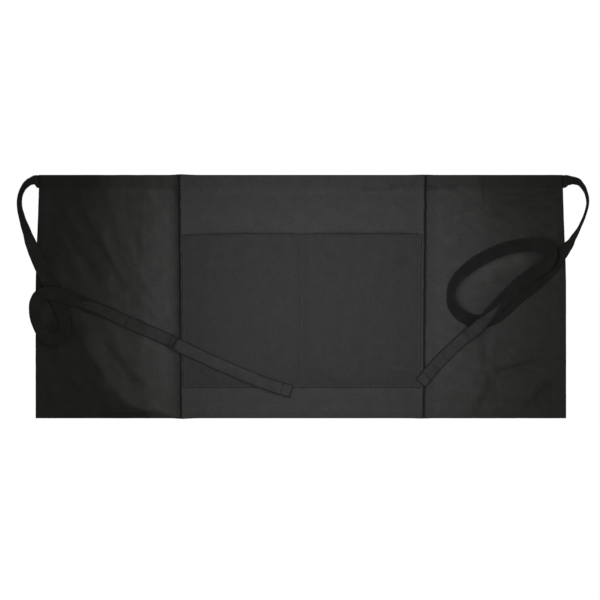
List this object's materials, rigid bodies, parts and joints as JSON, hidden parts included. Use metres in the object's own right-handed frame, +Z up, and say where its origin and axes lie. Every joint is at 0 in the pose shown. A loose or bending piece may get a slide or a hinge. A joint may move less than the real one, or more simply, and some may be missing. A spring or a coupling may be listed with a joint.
{
  "type": "waist apron",
  "caption": "Short waist apron of dark cotton twill, lying flat, with a divided front pocket, turned hems and two long cloth ties.",
  "frame": {"origin": "on the back of the panel, at the middle of its width and height, where it lies on the surface", "axes": "+X along the waistband to the viewer's right, +Y towards the waistband, +Z up from the surface, out of the front of the apron"},
  "size_m": [0.9702, 0.413, 0.0253],
  "materials": {
    "panel_twill": "black cotton twill, washed matt, pressed in three",
    "pocket_twill": "black cotton twill, the same cloth as the panel",
    "tie_twill": "black cotton twill, folded and pressed into a strap",
    "thread": "black polyester sewing thread, slightly shiny"
  },
  "bodies": {
    "root": {"apron_panel": "panel_twill", "waistband": "panel_twill", "left_side_hem": "panel_twill", "right_side_hem": "panel_twill", "bottom_hem": "panel_twill", "pocket": "pocket_twill", "left_tie": "tie_twill", "right_tie": "tie_twill"}
  },
  "joints": []
}
